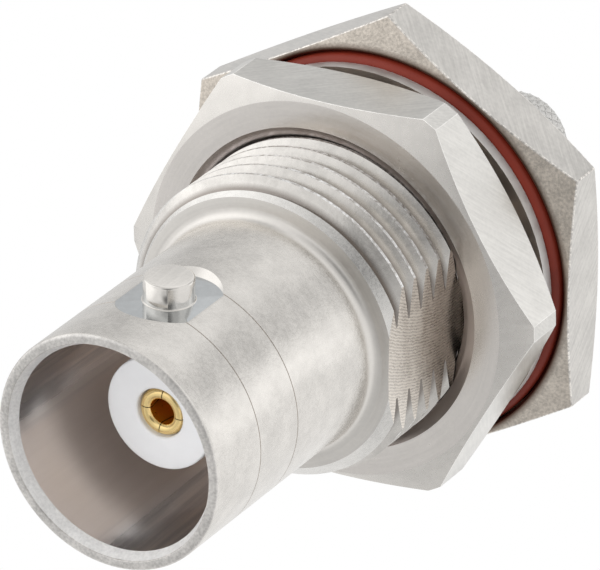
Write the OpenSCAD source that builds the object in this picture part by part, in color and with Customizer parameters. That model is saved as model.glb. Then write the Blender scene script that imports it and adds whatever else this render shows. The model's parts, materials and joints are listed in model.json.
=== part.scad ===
// Bulkhead BNC jack with a panel nut, a lock washer and a flange seal, for a crimped coaxial cable.
// The connector's axis lies along Y: the mouth faces -Y, the cable leaves at +Y, the studs stand on +Z and -Z.
// The origin is on the axis, in the plane where the hex flange meets the panel.

/* [Barrel] */
// Outside diameter of the bayonet barrel
barrel_d = 9.65; // [9.3:0.05:10]
// Wall of the barrel around the mouth
barrel_wall = 0.605; // [0.56:0.005:0.66]
// Length from the front face to the panel seat on the hex flange
front_len = 19.7; // [18:0.1:26]
// Depth of the shoulder where the panel thread starts, from the front face
shoulder_depth = 11.15; // [10.2:0.05:12]
// Width of the lead-in at the front face
lead_in_w = 0.2; // [0.1:0.01:0.25]
// Depth of the lead-in
lead_in_depth = 0.5; // [0.3:0.05:0.7]
// Depth at which the mouth narrows to the inner bore
mouth_depth = 3.45; // [3:0.05:3.8]
// Step by which the mouth narrows there
mouth_step = 0.16; // [0.05:0.01:0.18]
// Depth of the ring-shaped cavity around the insulator's nose
cavity_depth = 8.4; // [7.6:0.05:9.2]
// Rounding of the front face's outer edge
rim_round = 0.15; // [0.05:0.01:0.2]
// Depth at which the shallow milled band starts
band_start = 3.05; // [2.6:0.05:3.4]
// Depth at which the shallow milled band ends
band_end = 5.7; // [5.2:0.05:6.5]
// How far the milled band lies below the barrel
band_cut = 0.04; // [0.02:0.01:0.08]

/* [Bayonet studs] */
// Diameter of each stud
stud_d = 1.98; // [1.8:0.02:2.2]
// Height of the studs above the barrel
stud_rise = 0.685; // [0.6:0.005:0.8]
// Depth of the studs' centres behind the front face
stud_depth = 4.35; // [4:0.05:4.8]
// Chamfer round each stud's top
stud_edge = 0.1; // [0.05:0.01:0.2]
// Width of the flat floor milled round each stud
pocket_margin = 1.06; // [0.8:0.02:1.2]
// Depth of that floor below the barrel
pocket_cut = 0.27; // [0.2:0.01:0.3]

/* [Panel thread] */
// Diameter over the thread's crests
thread_d = 12.6; // [12:0.05:14]
// Distance from one crest to the next
thread_pitch = 0.907; // [0.8:0.001:1.2]
// Depth of the thread below its crests
thread_depth = 0.59; // [0.4:0.01:0.62]
// Width of each crest's flat top
crest_w = 0.1; // [0.06:0.01:0.2]
// Width of the flat bottom between two crests
root_w = 0.11; // [0.06:0.01:0.2]
// Distance from the shoulder to the middle of the first groove
first_groove = 0.43; // [0.4:0.01:0.5]
// Share of the step from barrel to crests that is flat; a 45 degree chamfer makes up the rest
shoulder_share = 0.56; // [0.4:0.01:0.75]
// Depth of the anti-turn flat below the crests
flat_cut = 0.8; // [0.5:0.05:1]
// Radius in the corner between the barrel and the shoulder
shoulder_fillet = 0.1; // [0.05:0.01:0.2]

/* [Seal ring] */
// Gap between the thread's crests and the seal
seal_gap = 0.45; // [0.3:0.05:0.8]
// Width of the seal's section
seal_w = 1.5; // [1.3:0.05:1.8]
// Depth of the groove in the flange
groove_depth = 0.8; // [0.6:0.05:1]
// How far the seal stands out of the flange
seal_proud = 0.23; // [0.1:0.01:0.35]
// Rounding of the seal's front corners
seal_round = 0.45; // [0.3:0.01:0.6]

/* [Hex flange and rear neck] */
// Rim of the flange outside the groove, at the middle of a flat
flange_rim = 0.22; // [0.15:0.01:1]
// Thickness of the flange
flange_len = 2.4; // [1.8:0.1:3.5]
// Slope of the flange's conical chamfers, in degrees
flange_slope = 20; // [12:1:25]
// Wall of the neck around the spigot's base
neck_wall = 0.4; // [0.3:0.05:1]
// Length of the neck
neck_len = 2; // [1.2:0.1:4]

/* [Lock washer] */
// Width of the washer's ring
washer_w = 0.95; // [0.8:0.05:1.1]
// Thickness of the sheet
washer_t = 0.49; // [0.4:0.01:0.6]
// Number of twisted inner teeth
teeth = 14; // [10:1:16]
// Length of each tooth inside the ring
tooth_len = 0.55; // [0.4:0.05:0.8]
// Width of each tooth
tooth_w = 1.5; // [1.3:0.05:1.7]
// Gap that the teeth hold open between the ring and the nut
tooth_lift = 0.6; // [0.4:0.05:0.7]

/* [Nut] */
// Wall of the nut from the thread's crests to the middle of a flat
nut_wall = 1.7; // [1.4:0.05:3]
// Length of the nut
nut_len = 2.85; // [2:0.05:3.5]
// How far the nut's corners are turned down
nut_corner_cut = 0.178; // [0.05:0.01:0.4]
// Inset of the nut's flat end faces from its flats
nut_face_inset = 0.15; // [0.05:0.01:0.4]
// Slope of the nut's conical chamfers, in degrees
nut_slope = 26; // [15:1:35]
// Width of the countersinks at both ends of the nut's bore
nut_sink_w = 0.41; // [0.2:0.01:0.6]
// Turn of the nut's corners from the horizontal, in degrees
nut_angle = 1.68; // [0:0.01:60]

/* [Insulators] */
// Diameter of the front insulator's nose
nose_d = 4.6; // [4.2:0.05:5]
// How far the nose's front lies behind the end of the mouth
nose_inset = 0.17; // [0.1:0.01:0.5]
// Clearance of the contact's fingers in the nose
finger_gap = 0.09; // [0.05:0.01:0.15]
// Diameter of the insulators in the rear bore
insulator_d = 6.96; // [6.4:0.02:7.4]
// Length of the front insulator's head, behind the nose
head_len = 5; // [4:0.1:5.6]
// Thickness of the web that separates the cavity from the rear bore
web_t = 1.6; // [1.2:0.1:2]

/* [Centre contact] */
// Outside diameter of the contact
contact_d = 1.94; // [1.8:0.02:2.1]
// How far the contact's front lies behind the nose's front
contact_inset = 0.08; // [0.02:0.01:0.3]
// Wall of the socket's fingers
finger_wall = 0.35; // [0.3:0.01:0.4]
// Depth of the socket's bore
socket_len = 5; // [4.4:0.1:6]
// Width of the four slots between the fingers
slot_w = 0.2; // [0.14:0.01:0.22]
// Length of the slots
slot_len = 3.6; // [3:0.1:4]
// Bore at the rear that takes the cable's inner conductor
conductor_d = 1; // [0.9:0.02:1.1]
// Depth of the conductor's bore
conductor_len = 3; // [2:0.1:3.5]

/* [Crimp spigot] */
// Bore for the cable's dielectric
cable_d = 3.1; // [2.7:0.05:3.5]
// Wall of the spigot, out to the crests of its knurl
spigot_wall = 0.45; // [0.35:0.01:0.6]
// Length of the spigot behind the neck
spigot_len = 7.16; // [6:0.1:9]
// Length of the base that is pressed into the neck
base_len = 3.1; // [2.4:0.1:3.5]

/* [Hidden] */
$fn = 96;

NICKEL = [0.80, 0.79, 0.77];
PLATED_STEEL = [0.74, 0.73, 0.72];
PTFE = [0.93, 0.94, 0.95];
GOLD = [0.90, 0.72, 0.36];
SILICONE = [0.52, 0.20, 0.15];

// Clearances
eps = 0.01;             // overshoot of a cutting shape past the face it cuts
slide_gap = 0.05;       // radial running clearance of the nut on the thread
tooth_gap = 0.1;        // radial clearance of the washer's teeth on the thread
face_gap = 0.03;        // gap between faces of pieces that move apart
fit_gap = 0.02;         // radial clearance of the inner pieces in their bores
groove_gap = 0.03;      // clearance on each side of the seal in its groove

// Radii
barrel_r = barrel_d / 2;
mouth_r = barrel_r - barrel_wall;
inner_r = mouth_r - mouth_step;
stud_r = stud_d / 2;
pocket_r = stud_r + pocket_margin;
pocket_floor = barrel_r - pocket_cut;
thread_r = thread_d / 2;
shoulder_r = barrel_r + (thread_r - barrel_r) * shoulder_share;
flat_dist = thread_r - flat_cut;
seal_in_r = thread_r + seal_gap;
seal_r = seal_in_r + seal_w;
flange_r = seal_r + groove_gap + flange_rim;
flange_corner_r = flange_r / cos(30);
tooth_r = thread_r + tooth_gap;
washer_in_r = tooth_r + tooth_len;
washer_r = washer_in_r + washer_w;
nut_bore_r = thread_r + slide_gap;
nut_r = thread_r + nut_wall;
nut_corner_r = nut_r / cos(30);
nose_r = nose_d / 2;
insulator_r = insulator_d / 2;
rear_bore_r = insulator_r + fit_gap;
base_r = rear_bore_r + 0.1;
base_bore_r = base_r + eps;
neck_r = base_bore_r + neck_wall;
cable_r = cable_d / 2;
spigot_r = cable_r + spigot_wall;

// Places along the connector, measured from the panel seat towards the cable
front_z = -front_len;
shoulder_z = front_z + shoulder_depth;
first_groove_z = shoulder_z + first_groove;
seat_z = front_z + cavity_depth + web_t;
split_z = seat_z + head_len;
neck_end_z = flange_len + neck_len;
base_z = neck_end_z - base_len;
spigot_end_z = neck_end_z + spigot_len;
washer_z = -seal_proud - face_gap - washer_t;
nut_back_z = washer_z - tooth_lift;
nut_front_z = nut_back_z - nut_len;
nose_z = front_z + mouth_depth + nose_inset;
contact_z = nose_z + contact_inset;
contact_end_z = base_z - 0.2;

// Inner pieces
contact_r = contact_d / 2;
contact_lip = 0.12;     // rounding of the socket's lip, outside and inside
socket_r = contact_r - finger_wall;
contact_hole_r = contact_r + fit_gap;
collar_r = contact_r + 0.6;
collar_t = 1;
web_hole_r = nose_r + fit_gap;
rear_recess_r = cable_r + 0.35;
rear_recess_depth = 1;

// Turns a shape that was drawn along Z so that its Z points at the cable
module along_axis() {
    rotate([-90, 0, 0]) children();
}

// Points of a quarter round of radius r about [x, z], from angle a0 to angle a1
function arc(x, z, r, a0, a1, steps = 6) =
    [for (i = [0:steps]) let (a = a0 + (a1 - a0) * i / steps) [x + r * cos(a), z + r * sin(a)]];

// A ring of rectangular section between two radii and two places along the axis
module ring(r_in, r_out, z0, z1) {
    rotate_extrude() translate([r_in, z0]) square([r_out - r_in, z1 - z0]);
}

// A round bar or hole from z0 to z1
module bar(r, z0, z1) {
    translate([0, 0, z0]) cylinder(r = r, h = z1 - z0);
}

// A hexagonal bar whose end faces are turned down to face_r by cones of the given slope
module turned_hex(corner_r, trim_r, face_r, slope, z0, z1) {
    drop = (trim_r - face_r) * tan(slope);
    intersection() {
        translate([0, 0, z0]) cylinder(r = corner_r, h = z1 - z0, $fn = 6);
        rotate_extrude() polygon([
            [0, z0],
            [face_r, z0],
            [trim_r, z0 + drop],
            [trim_r, z1 - drop],
            [face_r, z1],
            [0, z1]
        ]);
    }
}

// The section between two ridges of the thread, with its bottom at place z
module thread_groove(z) {
    mouth_w = thread_pitch - crest_w;
    flank = (mouth_w - root_w) / 2;
    over = eps * flank / thread_depth;
    polygon([
        [thread_r + eps, z - mouth_w / 2 - over],
        [thread_r + eps, z + mouth_w / 2 + over],
        [thread_r - thread_depth, z + root_w / 2],
        [thread_r - thread_depth, z - root_w / 2]
    ]);
}

// The barrel and the panel thread as one turning; the thread's ridges are drawn as rings
module front_turning() {
    rotate_extrude() difference() {
        front_section();
        for (z = [first_groove_z:thread_pitch:-thread_pitch]) thread_groove(z);
    }
}

// Half the section of the barrel and of the thread's blank
module front_section() {
    band_r = barrel_r - band_cut;
    polygon(concat(
        [[0, front_z]],
        arc(barrel_r - rim_round, front_z + rim_round, rim_round, -90, 0),
        [[barrel_r, front_z + band_start],
         [band_r, front_z + band_start],
         [band_r, front_z + band_end],
         [barrel_r, front_z + band_end]],
        arc(barrel_r + shoulder_fillet, shoulder_z - shoulder_fillet, shoulder_fillet, 180, 90),
        [[shoulder_r, shoulder_z],
         [thread_r, shoulder_z + thread_r - shoulder_r],
         [thread_r, eps],
         [0, eps]]
    ));
}

// Everything that is bored out of the body along its axis
module body_bores() {
    rotate_extrude() polygon([
        [0, front_z - eps],
        [mouth_r + lead_in_w, front_z - eps],
        [mouth_r + lead_in_w, front_z],
        [mouth_r, front_z + lead_in_depth],
        [mouth_r, front_z + mouth_depth],
        [inner_r, front_z + mouth_depth + mouth_r - inner_r],
        [inner_r, front_z + cavity_depth],
        [web_hole_r, front_z + cavity_depth],
        [web_hole_r, seat_z],
        [rear_bore_r, seat_z],
        [rear_bore_r, base_z],
        [base_bore_r, base_z],
        [base_bore_r, neck_end_z + eps],
        [0, neck_end_z + eps]
    ]);
}

// The flat that keeps the jack from turning in a D-shaped panel hole
module panel_flat() {
    translate([flat_dist, -thread_r, shoulder_z - eps])
        cube([thread_r, 2 * thread_r, -shoulder_z + eps]);
}

// Places a shape that stands along Z on the side wall, at the studs' depth
module on_side(side) {
    translate([0, 0, front_z + stud_depth]) rotate([-90 * side, 0, 0]) children();
}

// The flat-floored recess with a sloping wall that is milled round a stud
module stud_pocket(side) {
    on_side(side) translate([0, 0, pocket_floor])
        cylinder(r1 = pocket_r, r2 = pocket_r + 1, h = 1);
}

// A bayonet stud, rooted halfway through the barrel's wall
module stud(side) {
    root = (mouth_r + pocket_floor) / 2;
    top = barrel_r + stud_rise;
    on_side(side) rotate_extrude() polygon([
        [0, root],
        [stud_r, root],
        [stud_r, top - stud_edge],
        [stud_r - stud_edge, top],
        [0, top]
    ]);
}

module body() {
    color(NICKEL) along_axis() {
        difference() {
            union() {
                front_turning();
                rotate([0, 0, 30])
                    turned_hex(flange_corner_r, flange_corner_r, flange_r, flange_slope, 0, flange_len);
                bar(neck_r, flange_len - eps, neck_end_z);
            }
            ring(seal_in_r - groove_gap, seal_r + groove_gap, -eps, groove_depth);
            body_bores();
            panel_flat();
            for (side = [-1, 1]) stud_pocket(side);
        }
        for (side = [-1, 1]) stud(side);
    }
}

// The nose that centres the contact in the mouth, and the head that rests against the web
module front_insulator() {
    color(PTFE) along_axis() difference() {
        union() {
            bar(nose_r, nose_z, seat_z + eps);
            bar(insulator_r, seat_z, split_z);
        }
        bar(contact_r + finger_gap, nose_z - eps, seat_z);
        bar(contact_hole_r, seat_z - eps, split_z + eps);
    }
}

// Holds the contact's collar at its front and leaves its end free in a recess at its back
module rear_insulator() {
    color(PTFE) along_axis() difference() {
        bar(insulator_r, split_z, base_z);
        bar(collar_r + fit_gap, split_z - eps, split_z + collar_t);
        bar(contact_hole_r, split_z, base_z);
        bar(rear_recess_r, base_z - rear_recess_depth, base_z + eps);
    }
}

module contact_slots() {
    for (turn = [0, 90])
        rotate([0, 0, turn]) translate([-contact_d, -slot_w / 2, contact_z - eps])
            cube([2 * contact_d, slot_w, slot_len + eps]);
}

// A slotted socket, a collar held between the insulators and a bore for the conductor
module centre_contact() {
    color(GOLD) along_axis() difference() {
        union() {
            rotate_extrude() polygon([
                [0, contact_z],
                [contact_r - contact_lip, contact_z],
                [contact_r, contact_z + contact_lip],
                [contact_r, contact_end_z],
                [0, contact_end_z]
            ]);
            bar(collar_r, split_z, split_z + collar_t);
        }
        bar(socket_r, contact_z - eps, contact_z + socket_len);
        translate([0, 0, contact_z - eps])
            cylinder(r1 = socket_r + contact_lip, r2 = socket_r, h = contact_lip);
        bar(conductor_d / 2, contact_end_z - conductor_len, contact_end_z + eps);
        contact_slots();
    }
}

// The tube that the cable's braid is crimped on, drawn over its knurl, with a base pressed in the neck
module crimp_spigot() {
    color(NICKEL) along_axis() difference() {
        union() {
            bar(base_r, base_z, neck_end_z);
            bar(spigot_r, neck_end_z - eps, spigot_end_z);
        }
        bar(cable_r, base_z - eps, spigot_end_z + eps);
    }
}

// A soft ring whose front corners are rounded, seated on the bottom of the flange's groove
module seal_ring() {
    color(SILICONE) along_axis() rotate_extrude() {
        translate([seal_in_r, seal_round - seal_proud])
            square([seal_w, groove_depth + seal_proud - seal_round]);
        translate([seal_in_r + seal_round, -seal_proud])
            square([seal_w - 2 * seal_round, seal_round + eps]);
        for (x = [seal_in_r + seal_round, seal_r - seal_round])
            translate([x, seal_round - seal_proud]) circle(r = seal_round);
    }
}

// One tooth of the washer, twisted until it fills the height from the ring's back to the nut
module washer_tooth() {
    root_r = washer_in_r + 0.15;
    rise = washer_t + tooth_lift - face_gap;
    twist = asin(rise / norm([tooth_w, washer_t])) - atan(washer_t / tooth_w);
    translate([0, 0, washer_z + washer_t - rise / 2]) rotate([twist, 0, 0])
        translate([tooth_r, -tooth_w / 2, -washer_t / 2]) cube([root_r - tooth_r, tooth_w, washer_t]);
}

module lock_washer() {
    color(PLATED_STEEL) along_axis() {
        ring(washer_in_r, washer_r, washer_z, washer_z + washer_t);
        difference() {
            for (i = [0:teeth - 1])
                rotate([0, 0, i * 360 / teeth]) washer_tooth();
            bar(tooth_r, nut_back_z, 0);
        }
    }
}

// The panel nut; its bore clears the thread's crests, and its own thread isn't drawn
module hex_nut() {
    sink_r = nut_bore_r + nut_sink_w;
    color(NICKEL) along_axis() difference() {
        rotate([0, 0, -nut_angle])
            turned_hex(nut_corner_r, nut_corner_r - nut_corner_cut, nut_r - nut_face_inset, nut_slope,
                       nut_front_z, nut_back_z);
        rotate_extrude() polygon([
            [0, nut_front_z - eps],
            [sink_r, nut_front_z - eps],
            [sink_r, nut_front_z],
            [nut_bore_r, nut_front_z + nut_sink_w],
            [nut_bore_r, nut_back_z - nut_sink_w],
            [sink_r, nut_back_z],
            [sink_r, nut_back_z + eps],
            [0, nut_back_z + eps]
        ]);
    }
}

body();
front_insulator();
rear_insulator();
centre_contact();
crimp_spigot();
seal_ring();
lock_washer();
hex_nut();
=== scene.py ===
"""Looks of a bulkhead BNC jack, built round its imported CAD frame."""
import json
import math

import bmesh
import bpy
from mathutils import Matrix, Vector


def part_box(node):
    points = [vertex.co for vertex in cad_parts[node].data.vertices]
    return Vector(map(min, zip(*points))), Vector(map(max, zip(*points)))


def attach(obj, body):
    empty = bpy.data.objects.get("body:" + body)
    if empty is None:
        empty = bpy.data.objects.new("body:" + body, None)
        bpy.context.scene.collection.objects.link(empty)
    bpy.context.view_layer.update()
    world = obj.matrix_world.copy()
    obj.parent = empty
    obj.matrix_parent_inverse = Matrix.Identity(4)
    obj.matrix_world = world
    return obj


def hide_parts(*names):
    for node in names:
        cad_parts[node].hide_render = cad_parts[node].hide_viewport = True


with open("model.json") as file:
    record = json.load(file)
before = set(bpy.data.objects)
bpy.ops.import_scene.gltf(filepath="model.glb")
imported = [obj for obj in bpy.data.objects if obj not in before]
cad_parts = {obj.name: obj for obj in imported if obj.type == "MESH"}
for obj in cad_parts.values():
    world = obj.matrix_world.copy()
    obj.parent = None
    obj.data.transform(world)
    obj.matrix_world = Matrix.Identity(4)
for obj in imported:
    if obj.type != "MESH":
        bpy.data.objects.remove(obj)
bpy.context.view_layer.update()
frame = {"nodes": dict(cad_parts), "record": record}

# ---------------------------------------------------------------- sizes, in millimetres
MM = 0.001


def box_mm(node):
    """Lowest and highest corner of a CAD node, in millimetres."""
    low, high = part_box(node)
    return low / MM, high / MM


body_low, body_high = box_mm("body")
nut_low, nut_high = box_mm("hex_nut")
seal_low, seal_high = box_mm("seal_ring")
nose_low, nose_high = box_mm("front_insulator")
rear_low = box_mm("rear_insulator")[0]
contact_low, contact_high = box_mm("centre_contact")
spigot_low, spigot_high = box_mm("crimp_spigot")
mounts = {m["name"]: m for m in frame["record"]["mounts"]}


def mount_r(name):
    return mounts[name]["dims"]["r_mm"]


FRONT = body_low.y              # front face of the barrel
SHOULDER = FRONT + 11.15        # face where the panel thread starts
SEAT = 0.0                      # front face of the hex flange
NECK_END = body_high.y          # rear face of the neck

BARREL_R = mount_r("bayonet_barrel")
MOUTH_R = mount_r("mouth")
INNER_R = MOUTH_R - 0.16         # at the bottom of the cavity; the wall tapers
CAVITY_END = FRONT + 8.4
CAVITY_CORNER = 0.1
LEAD_IN_R = MOUTH_R + 0.2
LEAD_IN_DEPTH = 0.5
WEB_BACK = CAVITY_END + 1.6      # rear face of the web that carries the insulators
REAR_BORE_R = 3.5
RIM_ROUND = 0.15
MOUTH_ROUND = 0.05
SEAM_PLACES = (3.05, 5.7)        # hairlines round the barrel, behind its front face
SEAM_DEPTH = 0.022

STUD_R = mount_r("upper_stud")
STUD_TOP = BARREL_R + 0.685
STUD_Y = mounts["upper_stud"]["pos_m"][1] / MM
STUD_EDGE = 0.1                 # rounding of the stud's top
STUD_FOOT = 0.05                # hollow round between the stud and the pocket's floor
POCKET_FLOOR = BARREL_R - 0.27
POCKET_R = STUD_R + 1.06

THREAD_R = 6.3                  # crests
THREAD_ROOT = 5.71
CREST_HALF = 0.075              # half of the flat on top of a ridge, as a share of the pitch
ROOT_HALF = 0.06                # and half of the flat at its foot
THREAD_END = SEAT + 0.05        # the thread's bar reaches a little into the flange
THREAD_SHADE = (5.83, 6.03)     # painted shade in the grooves: darker inside the first radius and plain outside the second
SHOULDER_R = 5.65
SHOULDER_FILLET = 0.42
SHOULDER_FALL = 0.07            # the shoulder's face falls back this much towards its rim
FLAT_X = 5.5                    # anti-turn flat
PITCH = frame["record"]["behaviour"]["couplings"][0]["ratio"] * 2 * math.pi / MM
CREST_AT_TOP = 15.66 + FRONT    # place of a crest on the thread's upper side

FLANGE_R = body_high.x
FLANGE_FACE_R = FLANGE_R - 0.1
FLANGE_CORNER_R = FLANGE_R / math.cos(math.pi / 6)
FLANGE_TRIM_R = FLANGE_CORNER_R + 0.3   # past the corners, so that none is turned round
FLANGE_BACK = 2.4
FLANGE_SHADE = (8.34, 8.60)     # painted shade round the seal: the front is darkened inside the first radius and plain outside the second
FLANGE_SLOPE = math.radians(20)
FLANGE_TURN = math.pi / 2
NECK_R = 4.01
NECK_BORE_R = 3.61
NECK_EDGE = 0.12
GROOVE_DEPTH = 0.8
GROOVE_GAP = 0.06               # outside the seal
GROOVE_INNER_GAP = 0.3 * GROOVE_GAP
GROOVE_LIP = 0.1

NUT_R = 8.0
NUT_CORNER_R = NUT_R / math.cos(math.pi / 6) - 0.18
NUT_FACE_R = NUT_R - 0.15
NUT_SLOPE = math.radians(26)
NUT_TURN = math.radians(1.68)
NUT_MINOR_R = 5.86
NUT_THREAD_GAP = 0.05           # between the nut's thread and the body's
NUT_CREST_HALF = 0.055 + NUT_THREAD_GAP
NUT_ROOT_HALF = 0.11
NUT_SINK_R = 6.76
NUT_SINK_DEPTH = 0.65
EDGE_BREAK = 0.06               # softened edges of nut and flange

SEAL_R = seal_high.x - 0.09     # a little inside the CAD's, which leaves the flange its rim
SEAL_W = 1.5
SEAL_ROUND = 0.45

NOSE_R = 2.3
NOSE_HOLE_R = 1.0
NOSE_HOLE_ROUND = 0.12
NOSE_ROUND = 0.08
CONTACT_R = 0.97
CONTACT_EDGE = 0.05
SOCKET_R = mount_r("contact_socket")
SOCKET_DEPTH = 3.4
FINGER_LEAN = 0.13              # how far the fingers lean in at the mouth
FINGER_LEAN_LEN = 1.0
COLLAR_R = CONTACT_R + 0.6
COLLAR_W = 1.0
WIRE_BORE_R = 0.5
WIRE_BORE_DEPTH = 3.0
SLOT_W = 0.12
SLOT_TIP_HALF = 0.012           # half of the slot's width at the mouth, where the fingers all but meet
SLOT_TURN = math.radians(5)
SLOT_LEN = 3.2

SPIGOT_R = mount_r("crimp_tail")
CABLE_R = mount_r("cable_bore")
KNURL_DEPTH = 0.08
KNURL_ROWS = 30
KNURL_STEPS = 130               # rings of points along the knurl
KNURL_TOP = 1.6                 # the larger, the broader the diamonds' flat tops

FIT = 0.02                      # room between pieces that are held in one another
PAST = 1                        # a cutting tool runs this far past what it cuts
SMOOTH_ANGLE = 28               # edges that turn by more than these angles, in degrees, stay sharp
THREAD_ANGLE = 25
MILLED_ANGLE = 17
KNURL_ANGLE = 40
WASHER_ANGLE = 25


# ---------------------------------------------------------------- mesh helpers
def new_object(name, bm, smooth_angle=SMOOTH_ANGLE):
    """Turns a bmesh drawn in millimetres into an object with smooth faces and sharp edges."""
    bmesh.ops.recalc_face_normals(bm, faces=bm.faces)
    mesh = bpy.data.meshes.new(name)
    bm.to_mesh(mesh)
    bm.free()
    obj = bpy.data.objects.new(name, mesh)
    bpy.context.scene.collection.objects.link(obj)
    shade(obj, smooth_angle)
    return obj


def shade(obj, smooth_angle=SMOOTH_ANGLE):
    obj.data.shade_smooth()
    obj.data.set_sharp_from_angle(angle=math.radians(smooth_angle))


def to_metres(obj):
    obj.data.transform(Matrix.Scale(MM, 4))


def arc(r_mid, y_mid, radius, a0, a1, steps=5):
    """Points (r, y) of a round of the profile, between two angles in degrees."""
    angles = [math.radians(a0 + (a1 - a0) * i / steps) for i in range(steps + 1)]
    return [(r_mid + radius * math.cos(a), y_mid + radius * math.sin(a)) for a in angles]


def lathe(name, profile, segments=256):
    """Closed profile of (r, y) points turned round the connector's axis; a point with r = 0 is a pole."""
    bm = bmesh.new()
    rings = []
    for r, y in profile:
        if r < 1e-6:
            rings.append([bm.verts.new((0, y, 0))])
            continue
        turns = [2 * math.pi * k / segments for k in range(segments)]
        rings.append([bm.verts.new((r * math.cos(t), y, r * math.sin(t))) for t in turns])
    for a, b in zip(rings, rings[1:] + rings[:1]):
        join_rings(bm, a, b)
    return new_object(name, bm)


def join_rings(bm, a, b):
    if len(a) == 1 and len(b) == 1:
        return
    if len(a) == 1:
        a, b = b, a
    for k in range(len(a)):
        after = (k + 1) % len(a)
        if len(b) == 1:
            bm.faces.new((a[k], a[after], b[0]))
        else:
            bm.faces.new((a[k], a[after], b[after], b[k]))


def hex_bar(name, flat_r, y0, y1, turn):
    """Hexagonal bar along Y; turn is the angle of a corner from +X towards +Z."""
    corner = flat_r / math.cos(math.pi / 6)
    bm = bmesh.new()
    ends = []
    for y in (y0, y1):
        angles = [turn + math.pi / 3 * k for k in range(6)]
        ends.append([bm.verts.new((corner * math.cos(a), y, corner * math.sin(a))) for a in angles])
    bm.faces.new(ends[0])
    bm.faces.new(ends[1])
    join_rings(bm, ends[0], ends[1])
    return new_object(name, bm)


def block(name, low, high):
    """A box between two corners."""
    bm = bmesh.new()
    bmesh.ops.create_cube(bm, size=1)
    centre = [(a + b) / 2 for a, b in zip(low, high)]
    size = [b - a for a, b in zip(low, high)]
    bmesh.ops.scale(bm, vec=size, verts=bm.verts)
    bmesh.ops.translate(bm, vec=centre, verts=bm.verts)
    return new_object(name, bm)


def wedge(name, y0, y1, half0, half1, reach, turn):
    """A flat blade across the axis whose thickness grows from y0 to y1."""
    bm = bmesh.new()
    bmesh.ops.create_cube(bm, size=2)
    for vert in bm.verts:
        half = half0 if vert.co.y < 0 else half1
        y = y0 if vert.co.y < 0 else y1
        vert.co = (vert.co.x * reach, y, vert.co.z * half)
    bmesh.ops.rotate(bm, matrix=Matrix.Rotation(turn, 3, "Y"), verts=bm.verts)
    return new_object(name, bm)


def post(name, profile, y_mid, sign=1, segments=96):
    """Closed profile of (r, height) points turned round a radial axis on the connector's side."""
    obj = lathe(name, profile, segments)
    turn = Matrix.Rotation(math.radians(90 * sign), 4, "X")
    obj.data.transform(Matrix.Translation((0, y_mid, 0)) @ turn)
    return obj


def cut(obj, tool, operation="DIFFERENCE"):
    """Applies an exact boolean with another object, which is then removed."""
    modifier = obj.modifiers.new("cut", "BOOLEAN")
    modifier.object = tool
    modifier.operation = operation
    modifier.solver = "EXACT"
    apply_modifiers(obj)
    bpy.data.objects.remove(tool)
    return obj


def apply_modifiers(obj):
    graph = bpy.context.evaluated_depsgraph_get()
    mesh = bpy.data.meshes.new_from_object(obj.evaluated_get(graph))
    old = obj.data
    obj.modifiers.clear()
    obj.data = mesh
    name = old.name
    bpy.data.meshes.remove(old)
    mesh.name = name


WELD = 0.004                    # points this near each other are merged, since they would hold back a bevel
BEVEL_ANGLE = math.radians(14)


def soften(obj):
    """Breaks the sharp edges, as tumbling and plating do, and tags the new faces with material index 1."""
    bm = bmesh.new()
    bm.from_mesh(obj.data)
    bmesh.ops.remove_doubles(bm, verts=bm.verts, dist=WELD)
    bm.to_mesh(obj.data)
    bm.free()
    for _ in range(2):
        obj.data.materials.append(None)
    modifier = obj.modifiers.new("edges", "BEVEL")
    modifier.width = EDGE_BREAK
    modifier.segments = 2
    modifier.limit_method = "ANGLE"
    modifier.angle_limit = BEVEL_ANGLE
    modifier.use_clamp_overlap = True
    modifier.material = 1
    apply_modifiers(obj)


def ridge_profile(crest_half, crest_r, root_half, root_r):
    """One ridge of a thread, as (share of the pitch, radius) points in order towards +Y."""
    crest = [(-crest_half, crest_r), (crest_half, crest_r)]
    return crest + [(0.5 - root_half, root_r), (0.5 + root_half, root_r)]


def thread_solid(name, y0, y1, profile, segments=288):
    """A right-hand thread between two places, as a closed bar with the given ridge."""
    rows = len(profile)
    turns = int((y1 - y0) / PITCH) + 4
    phase0 = math.floor((y0 - CREST_AT_TOP) / PITCH) - 2

    def radius_at(share):
        first = profile[0][0]
        share = (share - first) % 1 + first
        points = profile + [(first + 1, profile[0][1])]
        for (s0, r0), (s1, r1) in zip(points, points[1:]):
            if s0 <= share <= s1:
                return r0 + (r1 - r0) * (share - s0) / (s1 - s0)

    bm = bmesh.new()
    columns = []
    for k in range(segments):
        angle = 2 * math.pi * k / segments
        lead = PITCH * (0.25 - k / segments)
        column = []
        ends = {}
        for i in range(rows * turns):
            share, radius = profile[i % rows]
            y = CREST_AT_TOP + (phase0 + i // rows + share) * PITCH + lead
            end = min(max(y, y0), y1)
            if end in ends:
                column.append(ends[end])
                continue
            if end != y:
                radius = radius_at((end - lead - CREST_AT_TOP) / PITCH)
            vert = bm.verts.new((radius * math.cos(angle), end, radius * math.sin(angle)))
            if end != y:
                ends[end] = vert
            column.append(vert)
        columns.append(column)
    count = rows * turns
    for k in range(segments):
        a = columns[k]
        b = columns[(k + 1) % segments]
        shift = -rows if k == segments - 1 else 0       # the last column joins the first one a pitch on
        for i in range(count - 1):
            j0 = min(max(i + shift, 0), count - 1)
            j1 = min(max(i + 1 + shift, 0), count - 1)
            corners = list(dict.fromkeys([a[i], a[i + 1], b[j1], b[j0]]))
            if len(corners) > 2:
                bm.faces.new(corners)
    for end, y in ((0, y0), (count - 1, y1)):
        centre = bm.verts.new((0, y, 0))
        for k in range(segments):
            bm.faces.new((columns[k][end], columns[(k + 1) % segments][end], centre))
    return new_object(name, bm)


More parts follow.
